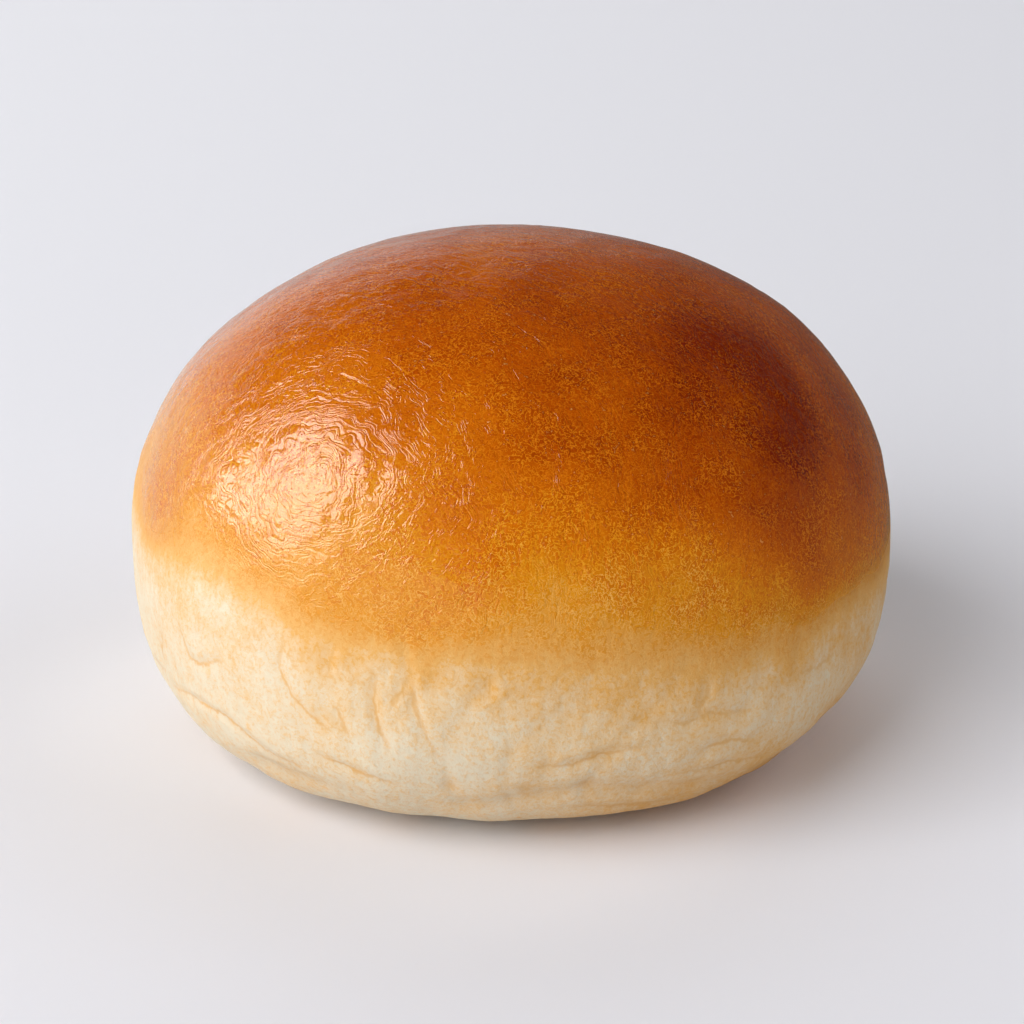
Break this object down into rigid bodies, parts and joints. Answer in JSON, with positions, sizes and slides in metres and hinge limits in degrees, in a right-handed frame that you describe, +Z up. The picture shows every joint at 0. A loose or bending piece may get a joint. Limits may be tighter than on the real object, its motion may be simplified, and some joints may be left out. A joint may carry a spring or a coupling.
{
  "type": "glazed bread bun",
  "caption": "Round soft bread bun, baked brown and glossy on its dome, with a pale pleated side band that tucks in to a flat foot.",
  "frame": {"origin": "middle of the bun's bounding box, in the plane of its flat foot", "axes": "+Z up through the dome, +X to the right seen from the front, -Y towards the front"},
  "size_m": [0.1002, 0.0998, 0.0638],
  "materials": {
    "crust": "egg-washed crust, glossy brown on the dome and satin cream round the side"
  },
  "bodies": {
    "root": {"bun": "crust"}
  },
  "joints": []
}
